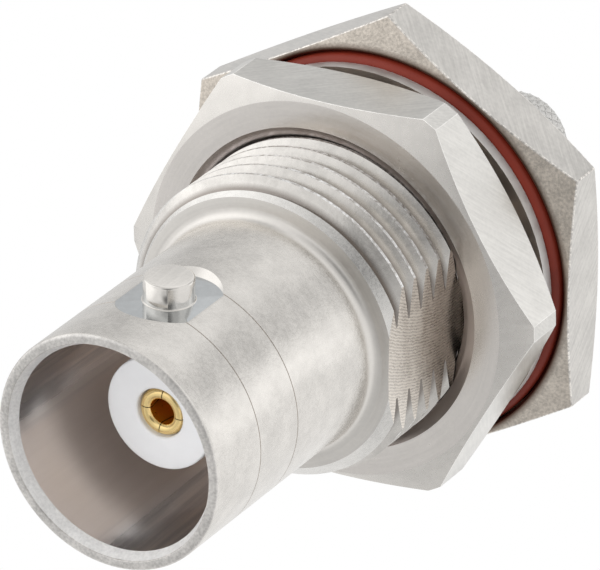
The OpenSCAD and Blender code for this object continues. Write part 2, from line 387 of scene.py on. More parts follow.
# ---------------------------------------------------------------- pieces
def make_barrel():
    """The turned tube with the mouth, the cavity round the insulator's nose and the web behind it."""
    corner = SHOULDER_FILLET
    web_hole_r = NOSE_R + FIT
    hidden_end = SHOULDER + 0.3
    seams = [
        (BARREL_R - drop, FRONT + place + shift)
        for place in SEAM_PLACES
        for shift, drop in ((-SEAM_DEPTH, 0), (0, SEAM_DEPTH), (SEAM_DEPTH, 0))
    ]
    profile = (
        arc(LEAD_IN_R + MOUTH_ROUND, FRONT + MOUTH_ROUND, MOUTH_ROUND, 180, 270)
        + arc(BARREL_R - RIM_ROUND, FRONT + RIM_ROUND, RIM_ROUND, -90, 0)
        + seams
        + arc(BARREL_R + corner, SHOULDER - corner, corner, 180, 90)
        + [(BARREL_R + corner, hidden_end), (REAR_BORE_R, hidden_end)]
        + [(REAR_BORE_R, WEB_BACK), (web_hole_r, WEB_BACK), (web_hole_r, CAVITY_END)]
        + [(INNER_R - CAVITY_CORNER, CAVITY_END), (INNER_R, CAVITY_END - CAVITY_CORNER)]
        + [(MOUTH_R, FRONT + LEAD_IN_DEPTH)]
    )
    barrel = lathe("barrel", profile, 320)
    above = POCKET_FLOOR + PAST
    pocket = [(0, POCKET_FLOOR), (POCKET_R, POCKET_FLOOR), (POCKET_R + PAST, above), (0, above)]
    for sign in (-1, 1):
        cut(barrel, post("pocket", pocket, STUD_Y, sign, 128))
    shade(barrel)
    return barrel


def make_stud(name, sign):
    """A stud with its foot sunk in the barrel's wall."""
    buried = MOUTH_R + 0.15
    foot, edge = STUD_FOOT, STUD_EDGE
    profile = (
        [(0, buried), (STUD_R + foot, buried)]
        + arc(STUD_R + foot, POCKET_FLOOR + foot, foot, 270, 180, 4)
        + [(STUD_R, STUD_TOP - edge)]
        + arc(STUD_R - edge, STUD_TOP - edge, edge, 0, 90, 4)
        + [(0, STUD_TOP)]
    )
    return post(name, profile, STUD_Y, sign)


def make_panel_thread():
    """The thread's bar, turned to the shoulder's face and chamfer, with the anti-turn flat and the bore."""
    ridge = ridge_profile(CREST_HALF, THREAD_R, ROOT_HALF, THREAD_ROOT)
    thread = thread_solid("panel_thread", SHOULDER - 0.5, THREAD_END, ridge)
    over = THREAD_R + 0.3
    rim_y = SHOULDER + SHOULDER_FALL
    envelope_end = THREAD_END + 0.1
    envelope = [
        (0, SHOULDER),
        (BARREL_R + SHOULDER_FILLET, SHOULDER),
        (SHOULDER_R, rim_y),
        (over, rim_y + over - SHOULDER_R),
        (over, envelope_end),
        (0, envelope_end),
    ]
    cut(thread, lathe("envelope", envelope, 288), "INTERSECT")
    y0, y1 = SHOULDER - PAST, THREAD_END + PAST
    side = 8
    cut(thread, block("flat", (FLAT_X, y0, -side), (side, y1, side)))
    cut(thread, lathe("bore", [(0, y0), (REAR_BORE_R, y0), (REAR_BORE_R, y1), (0, y1)], 96))
    shade(thread, THREAD_ANGLE)
    return thread


def turned_hexagon(name, flat_r, trim_r, face_r, slope, y0, y1, turn):
    """A hexagonal bar whose end faces are turned down to face_r by two cones."""
    drop = (trim_r - face_r) * math.tan(slope)
    bar = hex_bar(name, flat_r, y0, y1, turn)
    turned = [(0, y0), (face_r, y0), (trim_r, y0 + drop), (trim_r, y1 - drop), (face_r, y1), (0, y1)]
    return cut(bar, lathe("turned", turned, 290), "INTERSECT")


def make_hex_flange():
    """The hexagon with its bevelled edges, the neck behind it, the bore and the seal's groove."""
    flange = turned_hexagon(
        "hex_flange", FLANGE_R, FLANGE_TRIM_R, FLANGE_FACE_R, FLANGE_SLOPE, SEAT, FLANGE_BACK, FLANGE_TURN
    )
    soften(flange)
    neck_foot = FLANGE_BACK - 0.5
    neck = [
        (0, neck_foot),
        (NECK_R, neck_foot),
        (NECK_R, NECK_END - NECK_EDGE),
        (NECK_R - NECK_EDGE, NECK_END),
        (0, NECK_END),
    ]
    cut(flange, lathe("neck", neck, 160), "UNION")
    y0, y1 = SEAT - PAST, NECK_END + PAST
    cut(flange, lathe("bore", [(0, y0), (NECK_BORE_R, y0), (NECK_BORE_R, y1), (0, y1)], 128))
    inside = SEAL_R - SEAL_W - GROOVE_INNER_GAP
    outside = SEAL_R + GROOVE_GAP
    groove = [
        (inside, y0),
        (outside + GROOVE_LIP, y0),
        (outside + GROOVE_LIP, SEAT),
        (outside, SEAT + GROOVE_LIP),
        (outside, GROOVE_DEPTH),
        (inside, GROOVE_DEPTH),
    ]
    cut(flange, lathe("groove", groove, 288))
    shade(flange, MILLED_ANGLE)
    return flange


def make_nut():
    """The turned hexagon with its thread and a countersink at both ends."""
    y0, y1 = nut_low.y, nut_high.y
    nut = turned_hexagon("hex_nut_dressed", NUT_R, NUT_CORNER_R, NUT_FACE_R, NUT_SLOPE, y0, y1, NUT_TURN)
    soften(nut)
    ridge = ridge_profile(NUT_CREST_HALF, THREAD_R + NUT_THREAD_GAP, NUT_ROOT_HALF, NUT_MINOR_R)
    cut(nut, thread_solid("nut_thread", y0 - 0.3, y1 + 0.3, ridge, 240))
    sink_tip = NUT_MINOR_R - 0.2
    for y, out in ((y0, -1), (y1, 1)):
        over = y + out * PAST
        deep = y - out * NUT_SINK_DEPTH
        sink = [(0, over), (NUT_SINK_R + PAST, over), (NUT_SINK_R, y), (sink_tip, deep), (0, deep)]
        cut(nut, lathe("sink", sink, 240))
    shade(nut, MILLED_ANGLE)
    return nut


def make_seal():
    r0, r1 = SEAL_R - SEAL_W, SEAL_R
    y0, y1 = seal_low.y, seal_high.y
    profile = (
        arc(r0 + SEAL_ROUND, y0 + SEAL_ROUND, SEAL_ROUND, 180, 270, 8)
        + arc(r1 - SEAL_ROUND, y0 + SEAL_ROUND, SEAL_ROUND, 270, 360, 8)
        + [(r1, y1), (r0, y1)]
    )
    return lathe("seal", profile, 288)


def make_insulator():
    """The nose that stands in the mouth, and its head behind the web."""
    y0, y1 = nose_low.y, nose_high.y
    head_r = nose_high.x
    hole_r = CONTACT_R + FIT
    profile = (
        arc(NOSE_HOLE_R + NOSE_HOLE_ROUND, y0 + NOSE_HOLE_ROUND, NOSE_HOLE_ROUND, 180, 270, 6)
        + arc(NOSE_R - NOSE_ROUND, y0 + NOSE_ROUND, NOSE_ROUND, 270, 360, 4)
        + [(NOSE_R, WEB_BACK), (head_r, WEB_BACK), (head_r, y1)]
        + [(hole_r, y1), (hole_r, WEB_BACK), (NOSE_HOLE_R, WEB_BACK)]
    )
    return lathe("insulator_nose", profile, 160)


def make_contact():
    """The socket with its rounded mouth and four fingers, the collar that holds it and the wire's bore."""
    y0, y1 = contact_low.y, contact_high.y
    mouth_r = SOCKET_R - FINGER_LEAN
    lip_r = (CONTACT_R - mouth_r) / 2
    socket_end = y0 + SOCKET_DEPTH
    wire_end = y1 - WIRE_BORE_DEPTH
    collar0 = rear_low.y
    collar1 = collar0 + COLLAR_W
    profile = (
        [(SOCKET_R, socket_end), (SOCKET_R, y0 + FINGER_LEAN_LEN)]
        + arc(mouth_r + lip_r, y0 + lip_r, lip_r, 180, 360, 14)
        + [(CONTACT_R, collar0), (COLLAR_R, collar0), (COLLAR_R, collar1), (CONTACT_R, collar1)]
        + [(CONTACT_R, y1 - CONTACT_EDGE), (CONTACT_R - CONTACT_EDGE, y1)]
        + [(WIRE_BORE_R, y1), (WIRE_BORE_R, wire_end), (0, wire_end), (0, socket_end)]
    )
    contact = lathe("contact", profile, 128)
    reach = 2
    for turn in (SLOT_TURN, SLOT_TURN + math.pi / 2):
        cut(contact, wedge("slot", y0 - 0.5, y0 + SLOT_LEN, SLOT_TIP_HALF, SLOT_W / 2, reach, turn))
    shade(contact)
    return contact


def make_spigot():
    """The tube that the braid is crimped on, with a diamond knurl, and its base in the neck."""
    y0, y1 = spigot_low.y, spigot_high.y
    base_r = NECK_BORE_R - FIT / 2
    knurl_start, knurl_end = NECK_END - FIT, y1 - 0.1
    end_round = 0.08
    segments = KNURL_ROWS * 8
    lead = SPIGOT_R * 2 * math.pi / KNURL_ROWS
    bm = bmesh.new()
    rings = []

    def add_ring(radius_of, y):
        turns = [2 * math.pi * k / segments for k in range(segments)]
        points = [(radius_of(t) * math.cos(t), y, radius_of(t) * math.sin(t)) for t in turns]
        rings.append([bm.verts.new(point) for point in points])

    def groove_distance(value):
        return abs((value % 1) - 0.5) * 2

    for r, y in ((CABLE_R, y0), (base_r, y0), (base_r, knurl_start)):
        add_ring(lambda t, r=r: r, y)
    for i in range(KNURL_STEPS + 1):
        y = knurl_start + (knurl_end - knurl_start) * i / KNURL_STEPS

        def radius_of(t, y=y):
            row = t * KNURL_ROWS / (2 * math.pi)
            height = 1 - max(groove_distance(row + y / lead), groove_distance(row - y / lead))
            return SPIGOT_R - KNURL_DEPTH * (1 - min(1, KNURL_TOP * height))

        add_ring(radius_of, y)
    for r, y in ((SPIGOT_R - KNURL_DEPTH - FIT, y1), (CABLE_R + end_round, y1), (CABLE_R, y1 - end_round)):
        add_ring(lambda t, r=r: r, y)
    for a, b in zip(rings, rings[1:] + rings[:1]):
        join_rings(bm, a, b)
    return new_object("knurled_spigot", bm, KNURL_ANGLE)


# ---------------------------------------------------------------- materials
class Shader:
    """A material's node tree, with short names for the nodes that the finishes share."""

    def __init__(self, name, metallic, colour):
        self.material = bpy.data.materials.new(name)
        self.material.use_nodes = True
        self.material.diffuse_color = (*colour, 1)
        self.tree = self.material.node_tree
        self.bsdf = self.tree.nodes["Principled BSDF"]
        self.bsdf.inputs["Metallic"].default_value = metallic
        self.bsdf.inputs["Base Color"].default_value = (*colour, 1)

    def put(self, kind, **values):
        node = self.tree.nodes.new(kind)
        for key, value in values.items():
            setattr(node, key, value)
        return node

    def link(self, source, target):
        self.tree.links.new(source, target)

    def coords(self, scale=(1, 1, 1), turn=(0, 0, 0)):
        """Object coordinates in millimetres, scaled and turned."""
        place = self.put("ShaderNodeTexCoord")
        mapping = self.put("ShaderNodeMapping")
        mapping.inputs["Scale"].default_value = [k / MM for k in scale]
        mapping.inputs["Rotation"].default_value = turn
        self.link(place.outputs["Object"], mapping.inputs["Vector"])
        return mapping.outputs["Vector"]

    def grain_coords(self, scale=(1, 1, 1), turn=0.0):
        """Coordinates on the surface in millimetres: across and along a face, from the mesh."""
        place = self.put("ShaderNodeUVMap", uv_map="grain")
        mapping = self.put("ShaderNodeMapping", vector_type="TEXTURE")
        mapping.inputs["Scale"].default_value = [1 / k for k in scale]
        mapping.inputs["Rotation"].default_value = (0, 0, turn)
        self.link(place.outputs["UV"], mapping.inputs["Vector"])
        return mapping.outputs["Vector"]

    def noise(self, coords, scale, detail=2.0, rough=0.5):
        noise = self.put("ShaderNodeTexNoise")
        noise.inputs["Scale"].default_value = scale
        noise.inputs["Detail"].default_value = detail
        noise.inputs["Roughness"].default_value = rough
        self.link(coords, noise.inputs["Vector"])
        return noise.outputs["Fac"]

    def math(self, operation, a, b=None):
        node = self.put("ShaderNodeMath", operation=operation)
        for socket, value in zip(node.inputs, (a, b)):
            if value is None:
                continue
            if isinstance(value, (int, float)):
                socket.default_value = value
            else:
                self.link(value, socket)
        return node.outputs[0]

    def remap(self, value, low, high, new_low, new_high):
        node = self.put("ShaderNodeMapRange", clamp=True)
        for key, number in zip(("From Min", "From Max", "To Min", "To Max"), (low, high, new_low, new_high)):
            node.inputs[key].default_value = number
        self.link(value, node.inputs["Value"])
        return node.outputs["Result"]

    def blend(self, factor, dark, light):
        node = self.put("ShaderNodeMix", data_type="RGBA")
        self.link(factor, node.inputs["Factor"])
        for socket, value in ((node.inputs["A"], dark), (node.inputs["B"], light)):
            if isinstance(value, tuple):
                socket.default_value = (*value, 1)
            else:
                self.link(value, socket)
        return node.outputs["Result"]

    def by_radius(self, r0, r1):
        """Rises from 0 to 1 between two distances from the connector's axis, in millimetres."""
        place = self.put("ShaderNodeTexCoord")
        flat = self.put("ShaderNodeVectorMath", operation="MULTIPLY")
        flat.inputs[1].default_value = (1, 0, 1)
        self.link(place.outputs["Object"], flat.inputs[0])
        length = self.put("ShaderNodeVectorMath", operation="LENGTH")
        self.link(flat.outputs[0], length.inputs[0])
        return self.remap(length.outputs["Value"], r0 * MM, r1 * MM, 0, 1)

    def weighted(self, a, share, b):
        """A share of one value and the rest of another."""
        return self.math("ADD", self.math("MULTIPLY", a, share), self.math("MULTIPLY", b, 1 - share))

    def speckled(self, colour, contrast, value, low, high):
        """The colour, from darker to lighter by a share of itself as the value goes from low to high."""
        factor = self.remap(value, low, high, 0, 1)
        return self.blend(factor, scaled(colour, 1 - contrast), scaled(colour, 1 + contrast))

    def set(self, name, source):
        self.link(source, self.bsdf.inputs[name])

    def set_gloss(self, value, rough, spread):
        """Roughness that wanders about its mean with the value."""
        self.set("Roughness", self.remap(value, 0.3, 0.7, rough - spread, rough + spread))

    def set_bump(self, height, depth_mm):
        node = self.put("ShaderNodeBump")
        node.inputs["Distance"].default_value = depth_mm * MM
        self.link(height, node.inputs["Height"])
        self.set("Normal", node.outputs["Normal"])


def scaled(colour, k):
    return tuple(min(1.0, c * k) for c in colour)


NICKEL = (0.70, 0.675, 0.64)
MOTTLE_LOW, MOTTLE_HIGH = 0.38, 0.62    # the noise values between which a finish goes from dark to light
# Painted reflections in the bore: the side that is painted warmer and duller, and two bright streaks.
BORE_WARM_SIDE = math.radians(224)      # round the axis, from +X towards +Z
BORE_WARM_HALF = math.radians(35)
BORE_REFLECTION_STREAKS = (math.radians(183), math.radians(-97))
BORE_REFLECTION_HALF = (0.02, 0.07)         # full inside the first angle, gone outside the second
SWIRL_CENTRE = (9.0, -3.5, 0.0)         # up and along the flat, in millimetres


def plated(
    name, colour, rough, grain_size, contrast, bump_mm, cloud=0.5, metallic=1.0, painted_shade=None, radii=None
):
    """Satin plating: a cloudy mottle, and a fine grain in colour, gloss and height. With a painted_shade
    colour given, it paints shade: it turns to that colour from the second of two radii in to the first."""
    sh = Shader(name, metallic, colour)
    coords = sh.coords()
    clouds = sh.noise(coords, 1.1, 3.0, 0.6)
    grain = sh.noise(coords, 1 / grain_size, 3.0, 0.6)
    mottle = sh.weighted(clouds, cloud, grain)
    tone = sh.speckled(colour, contrast, mottle, MOTTLE_LOW, MOTTLE_HIGH)
    if painted_shade:
        tone = sh.blend(sh.by_radius(*radii), painted_shade, tone)
    sh.set("Base Color", tone)
    sh.set_gloss(grain, rough, 0.06)
    sh.set_bump(grain, bump_mm)
    return sh.material


def streaked(name, colour, rough, turn, contrast=0.05, bump_mm=0.002):
    """A milled or turned face: fine parallel marks over the plating's mottle."""
    sh = Shader(name, 1.0, colour)
    marks = sh.noise(sh.grain_coords((9, 0.5, 1), turn), 1.0, 3.0, 0.6)
    coords = sh.coords()
    grain = sh.noise(coords, 6.0, 2.0)
    clouds = sh.noise(coords, 0.7, 1.0)
    mix = sh.weighted(marks, 0.5, sh.weighted(grain, 0.5, clouds))
    sh.set("Base Color", sh.speckled(colour, contrast, mix, MOTTLE_LOW, MOTTLE_HIGH))
    sh.set_gloss(mix, rough, 0.05)
    sh.set_bump(marks, bump_mm)
    return sh.material


def swirled(name, colour, rough, contrast, bump_mm):
    """A face cut by a fly cutter: fine arcs about a centre off the face, over the plating's mottle."""
    sh = Shader(name, 1.0, colour)
    arcs = sh.put("ShaderNodeTexWave", wave_type="RINGS", rings_direction="SPHERICAL", wave_profile="SIN")
    for key, value in (("Scale", 2.6), ("Distortion", 4.0), ("Detail", 3.0), ("Detail Scale", 1.5)):
        arcs.inputs[key].default_value = value
    shift = sh.put("ShaderNodeVectorMath", operation="ADD")
    shift.inputs[1].default_value = [-k for k in SWIRL_CENTRE]
    sh.link(sh.grain_coords(), shift.inputs[0])
    sh.link(shift.outputs[0], arcs.inputs["Vector"])
    grain = sh.noise(sh.coords(), 5.0, 3.0)
    mix = sh.weighted(arcs.outputs["Fac"], 0.4, grain)
    sh.set("Base Color", sh.speckled(colour, contrast, mix, 0.3, 0.7))
    sh.set_gloss(mix, rough, 0.05)
    sh.set_bump(arcs.outputs["Fac"], bump_mm)
    return sh.material


def polished_bore():
    """The cavity's wall, drawn smooth, with painted reflections: greys with light lines and two bright
    streaks along it, and one side painted warmer and duller.
    """
    sh = Shader("nickel_in_bore", 1.0, (0.8, 0.74, 0.7))
    place = sh.put("ShaderNodeTexCoord")
    parts = sh.put("ShaderNodeSeparateXYZ")
    sh.link(place.outputs["Object"], parts.inputs[0])
    angle = sh.math("ARCTAN2", parts.outputs["Z"], parts.outputs["X"])
    side = sh.math("COSINE", sh.math("SUBTRACT", angle, BORE_WARM_SIDE))
    warm = sh.remap(side, math.cos(BORE_WARM_HALF + 0.16), math.cos(BORE_WARM_HALF - 0.04), 0, 1)
    lines_at = sh.put("ShaderNodeCombineXYZ")
    sh.link(sh.math("MULTIPLY", angle, MOUTH_R), lines_at.inputs[0])
    sh.link(sh.math("MULTIPLY", parts.outputs["Y"], 0.05 / MM), lines_at.inputs[1])
    lines = sh.remap(sh.noise(lines_at.outputs[0], 2.2, 4.0, 0.6), 0.35, 0.68, 0, 1)
    full, gone = BORE_REFLECTION_HALF
    for streak in BORE_REFLECTION_STREAKS:
        near = sh.math("COSINE", sh.math("SUBTRACT", angle, streak))
        lines = sh.math("MAXIMUM", lines, sh.remap(near, math.cos(gone), math.cos(full), 0, 1.6))
    cool = sh.blend(lines, (0.60, 0.58, 0.58), (0.90, 0.86, 0.83))
    plain = sh.blend(lines, (0.89, 0.80, 0.74), (0.92, 0.83, 0.77))
    sh.set("Base Color", sh.blend(warm, cool, plain))
    sh.set("Roughness", sh.remap(warm, 0, 1, 0.24, 0.46))
    return sh.material


def white_insulator():
    colour = (0.84, 0.845, 0.86)
    sh = Shader("white_fluoropolymer", 0.0, colour)
    coords = sh.coords()
    mottle = sh.noise(coords, 2.0, 2.0)
    sh.set("Base Color", sh.blend(mottle, scaled(colour, 0.97), scaled(colour, 1.03)))
    sh.bsdf.inputs["Roughness"].default_value = 0.45
    sh.bsdf.inputs["Subsurface Weight"].default_value = 0.3
    sh.bsdf.inputs["Subsurface Radius"].default_value = (0.6, 0.6, 0.6)
    sh.bsdf.inputs["Subsurface Scale"].default_value = 1 * MM
    sh.set_bump(sh.noise(coords, 9.0, 3.0), 0.002)
    return sh.material


def gold(name, colour, rough, metallic=1.0):
    sh = Shader(name, metallic, colour)
    mottle = sh.noise(sh.coords(), 4.0, 2.0)
    sh.set("Base Color", sh.blend(mottle, scaled(colour, 0.94), scaled(colour, 1.06)))
    sh.set_gloss(mottle, rough, 0.04)
    return sh.material


def silicone():
    colour = (0.165, 0.019, 0.009)
    sh = Shader("red_silicone_rubber", 0.0, colour)
    coords = sh.coords()
    mottle = sh.noise(coords, 1.2, 3.0)
    sh.set("Base Color", sh.blend(mottle, scaled(colour, 0.85), scaled(colour, 1.15)))
    sh.bsdf.inputs["Roughness"].default_value = 0.5
    sh.bsdf.inputs["Specular IOR Level"].default_value = 0.3
    sh.set_bump(sh.noise(coords, 7.0, 3.0), 0.004)
    return sh.material


GRAIN_ROUND = 3                 # length of grain given to one radian of an end face
GRAIN_SHIFT = 10                # sets the grain of one broad flat apart from the next one's
BROAD_FACE = 2                  # square millimetres


def lay_grain(obj):
    """Writes surface coordinates in millimetres: across and along the sides, out and round on end faces."""
    mesh = obj.data
    layer = mesh.uv_layers.new(name="grain")
    for face in mesh.polygons:
        normal = face.normal
        if abs(normal.y) > 0.75:
            for i in face.loop_indices:
                co = mesh.vertices[mesh.loops[i].vertex_index].co
                layer.data[i].uv = (math.hypot(co.x, co.z), math.atan2(co.z, co.x) * GRAIN_ROUND)
            continue
        side = Vector((-normal.z, 0, normal.x)).normalized()
        turn = round(math.atan2(normal.z, normal.x), 1)
        shift = GRAIN_SHIFT * turn if face.area > BROAD_FACE else 0
        for i in face.loop_indices:
            co = mesh.vertices[mesh.loops[i].vertex_index].co
            layer.data[i].uv = (co.dot(side) + shift, co.y)


def accepted(face, is_edge, test):
    if test is None:
        return is_edge and abs(face.normal.y) < 0.93
    return test(face.center, face.normal)


def paint(obj, base, *zones):
    """Gives the object its finish, and other finishes to the faces that a zone's test accepts.
    A zone without a test takes the edges that soften() made, save those that lie nearly in an end face."""
    mesh = obj.data
    edge_faces = [face.material_index == 1 for face in mesh.polygons]
    mesh.materials.clear()
    mesh.materials.append(base)
    for finish, _ in zones:
        mesh.materials.append(finish)
    for face, is_edge in zip(mesh.polygons, edge_faces):
        face.material_index = 0
        for index, (_, test) in enumerate(zones):
            if accepted(face, is_edge, test):
                face.material_index = index + 1
                break


# Each finish has a name, a colour and a roughness. A plated one then has its grain size in millimetres, its
# contrast, its height in millimetres and the share of broad clouds. A streaked one has the direction of its
# marks, its contrast and its height, and a swirled one its contrast and its height.
satin = plated("nickel_satin", NICKEL, 0.28, 0.16, 0.09, 0.008, 0.6)
coned = plated("nickel_nut_cone", (0.70, 0.675, 0.64), 0.28, 0.25, 0.04, 0.001, 0.6)
# Brownish nickel on the flange's corner cones, darker partly as painted shade; inside FLANGE_SHADE it turns
# to a dark brown painted shade.
rough_nickel = plated(
    "nickel_rough", (0.62, 0.565, 0.50), 0.40, 0.12, 0.22, 0.020, 0.35,
    painted_shade=(0.16, 0.11, 0.085), radii=FLANGE_SHADE,
)
# Near-white, partly diffuse nickel on the nut's softened edges: painted highlights along them.
edge_highlight_nickel = plated("nickel_edge_painted_highlight", (0.90, 0.88, 0.85), 0.50, 0.12, 0.12, 0.006, 0.4, metallic=0.6)
# Lighter, sparkling nickel on the flange's softened edges: painted highlights along them.
flange_highlight = plated("nickel_flange_painted_highlight", (0.74, 0.71, 0.67), 0.45, 0.12, 0.32, 0.006, 0.1)
# Light nickel on the thread's crests: painted highlights along them.
crest_highlight_nickel = plated("nickel_crest_painted_highlight", (0.84, 0.80, 0.76), 0.38, 0.18, 0.38, 0.030, 0.15)
knurled_nickel = plated("nickel_knurled", (0.62, 0.61, 0.59), 0.30, 0.10, 0.08, 0.004, 0.4)
mouth_nickel = plated("nickel_mouth_rim", (0.66, 0.64, 0.615), 0.42, 0.12, 0.20, 0.012, 0.4)
# Dark brown in the hairline seams round the barrel: painted shade in the grooves.
seam_shade_nickel = plated("nickel_seam_painted_shade", (0.42, 0.37, 0.32), 0.45, 0.08, 0.2, 0.005, 0.2)
bright = plated("nickel_bright", NICKEL, 0.14, 0.20, 0.04, 0.003)
# The thread's grooves are painted a dark brown below THREAD_SHADE: painted shade at their roots.
thread_nickel = plated(
    "nickel_thread", scaled(NICKEL, 0.98), 0.24, 0.22, 0.10, 0.004, 0.6,
    painted_shade=(0.34, 0.31, 0.285), radii=THREAD_SHADE,
)
chamfer_nickel = plated("nickel_chamfer", (0.69, 0.675, 0.65), 0.28, 0.12, 0.08, 0.004, 0.4)
# A darker, warmer nickel in the nut's countersinks and thread: painted shade.
sunk_nickel = plated("nickel_countersink", (0.62, 0.56, 0.53), 0.36, 0.60, 0.03, 0.0005)
# A near-black brown on the groove's lip outside the seal: painted shade.
lip_shade_nickel = plated("nickel_groove_lip_painted_shade", (0.14, 0.08, 0.06), 0.35, 0.25, 0.15, 0.003)
# The flange's front face: a darker brown nickel that turns near black towards the seal, painted shade round
# the seal.
rim_nickel = plated(
    "nickel_flange_rim", (0.58, 0.53, 0.475), 0.34, 0.10, 0.22, 0.010, 0.3,
    painted_shade=(0.12, 0.07, 0.05), radii=FLANGE_SHADE,
)
pocket_nickel = plated("nickel_in_pocket", (0.62, 0.64, 0.65), 0.10, 0.25, 0.05, 0.001)
bore = polished_bore()
# A light, partly diffuse nickel on the mouth's lead-in: painted light on this outward face.
lead_in = plated("nickel_lead_in", (0.83, 0.825, 0.815), 0.60, 0.12, 0.10, 0.008, 0.4, metallic=0.45)
faced = streaked("nickel_faced", (0.75, 0.715, 0.68), 0.24, 0.0, 0.04, 0.001)
polished = streaked("nickel_polished", scaled(NICKEL, 1.03), 0.33, 0.0, 0.05, 0.001)
# The studs' ends in a nickel lighter than their sides: painted light on their tops.
stud_end = streaked("nickel_stud_end", scaled(NICKEL, 1.3), 0.24, 0.0, 0.06, 0.001)
nut_milled = streaked("nickel_nut_flats", (0.69, 0.675, 0.645), 0.32, math.radians(48), 0.10, 0.004)
milled = streaked("nickel_milled", (0.63, 0.61, 0.58), 0.32, math.radians(-48), 0.13, 0.005)
flat_marks = swirled("nickel_flat", (0.72, 0.67, 0.61), 0.32, 0.18, 0.005)
steel = plated("plated_spring_steel", (0.84, 0.83, 0.81), 0.48, 0.8, 0.03, 0.0005)
# A darker, browner copy of the washer's steel for its faces under the nut: painted shade.
shaded_steel = plated("spring_steel_teeth_painted_shade", (0.58, 0.51, 0.45), 0.50, 0.5, 0.05, 0.001)
ptfe = white_insulator()
gold_plate = gold("gold_plating", (1.0, 0.74, 0.34), 0.16)
# A deep orange, partly diffuse gold inside the socket: painted reflection of the socket's own gold.
gold_inside = gold("gold_in_socket", (0.85, 0.33, 0.02), 0.30, metallic=0.75)
rubber = silicone()


# ---------------------------------------------------------------- tests for the finishes' zones
NEAR = 0.01                     # a face this near a surface belongs to it, in millimetres
END_NORMAL = 0.97               # |normal.y| above which a face lies square to the axis


def radius(point):
    return math.hypot(point.x, point.z)


# Each test takes the centre of a face and its normal.
def on_end(c, n):
    return abs(n.y) > END_NORMAL


def in_mouth(c, n):
    return radius(c) < MOUTH_R + 0.03 and c.y > FRONT + LEAD_IN_DEPTH - 0.05


def on_lead_in(c, n):
    return radius(c) < LEAD_IN_R + 0.001 and c.y < FRONT + LEAD_IN_DEPTH


def on_front_rim(c, n):
    return c.y < FRONT + 0.06


def in_seam(c, n):
    return BARREL_R - 0.03 < radius(c) < BARREL_R - 0.005 and c.y > FRONT + 1


def on_pocket_floor(c, n):
    return abs(n.z) > 0.99 and abs(abs(c.z) - POCKET_FLOOR) < NEAR


def on_pocket_wall(c, n):
    near = math.hypot(c.x, c.y - STUD_Y) < POCKET_R + 0.5
    at_45_degrees = abs(abs(n.z) - math.sqrt(0.5)) < 0.02
    return near and abs(c.z) > POCKET_FLOOR and at_45_degrees and abs(n.y) > 0.02


def on_shoulder_chamfer(c, n):
    return abs(radius(c) - c.y - SHOULDER_R + SHOULDER + SHOULDER_FALL) < 2 * NEAR


def in_groove_lip(c, n):
    return radius(c) < SEAL_R + GROOVE_GAP + GROOVE_LIP and c.y < GROOVE_DEPTH - NEAR


def in_socket(c, n):
    return radius(c) < SOCKET_R + 0.03 and c.y > contact_low.y + 0.2


# ---------------------------------------------------------------- assembly
def dress(obj, body, node):
    to_metres(obj)
    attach(obj, body)
    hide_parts(node)


barrel = make_barrel()
lay_grain(barrel)
paint(
    barrel,
    satin,
    (bore, in_mouth),
    (lead_in, on_lead_in),
    (mouth_nickel, on_front_rim),
    (pocket_nickel, on_pocket_floor),
    (bright, on_pocket_wall),
    (polished, lambda c, n: c.y > SHOULDER - SHOULDER_FILLET),
    (seam_shade_nickel, in_seam),
)
dress(barrel, "jack", "body")

for stud_name, sign in (("upper_stud_pin", 1), ("lower_stud_pin", -1)):
    pin = make_stud(stud_name, sign)
    lay_grain(pin)
    paint(pin, bright, (stud_end, lambda c, n: abs(n.z) > 0.9))
    dress(pin, "jack", "body")

panel_thread = make_panel_thread()
lay_grain(panel_thread)
paint(
    panel_thread,
    thread_nickel,
    (polished, lambda c, n: n.y < -0.95),
    (flat_marks, lambda c, n: n.x > 0.98 and abs(c.x - FLAT_X) < NEAR),
    (crest_highlight_nickel, lambda c, n: radius(c) > THREAD_R - NEAR),
    (chamfer_nickel, on_shoulder_chamfer),
)
dress(panel_thread, "jack", "body")

flange = make_hex_flange()
lay_grain(flange)
paint(
    flange,
    milled,
    (flange_highlight, None),
    (lip_shade_nickel, in_groove_lip),
    (rim_nickel, lambda c, n: n.y < -END_NORMAL),
    (rough_nickel, lambda c, n: 0.8 < -n.y < END_NORMAL),
    (satin, lambda c, n: n.y > 0.3 or c.y > FLANGE_BACK),
)
dress(flange, "jack", "body")

nut = make_nut()
lay_grain(nut)
paint(
    nut,
    nut_milled,
    (edge_highlight_nickel, None),
    (faced, on_end),
    (sunk_nickel, lambda c, n: radius(c) < NUT_SINK_R + 0.05),
    (coned, lambda c, n: abs(n.y) > 0.5),
)
dress(nut, "nut", "hex_nut")

seal = make_seal()
paint(seal, rubber)
dress(seal, "jack", "seal_ring")

nose = make_insulator()
paint(nose, ptfe)
dress(nose, "jack", "front_insulator")

contact = make_contact()
paint(contact, gold_plate, (gold_inside, in_socket))
dress(contact, "jack", "centre_contact")

spigot = make_spigot()
paint(spigot, knurled_nickel)
dress(spigot, "jack", "crimp_spigot")


def dress_cad_node(name, rest, rim):
    """Finishes on a node that is shown by its own CAD solid: one for its outer rim, one for the rest."""
    node = frame["nodes"][name]
    mesh = node.data
    mesh.materials.clear()
    mesh.materials.append(rest)
    mesh.materials.append(rim)
    rim_r = node.dimensions.x / 2 - 0.3 * MM
    for face in mesh.polygons:
        face.material_index = 1 if radius(face.center) > rim_r and abs(face.normal.y) < 0.5 else 0
    shade(node, WASHER_ANGLE)


# The washer's outer rim in the light steel and the rest in the shaded copy: painted shade under the nut.
dress_cad_node("lock_washer", shaded_steel, steel)
dress_cad_node("rear_insulator", ptfe, ptfe)


# ---------------------------------------------------------------- stage, light and camera
FLOOR_GAP = 1.2                 # millimetres below the jack
FLOOR_HALF = 0.6                # metres


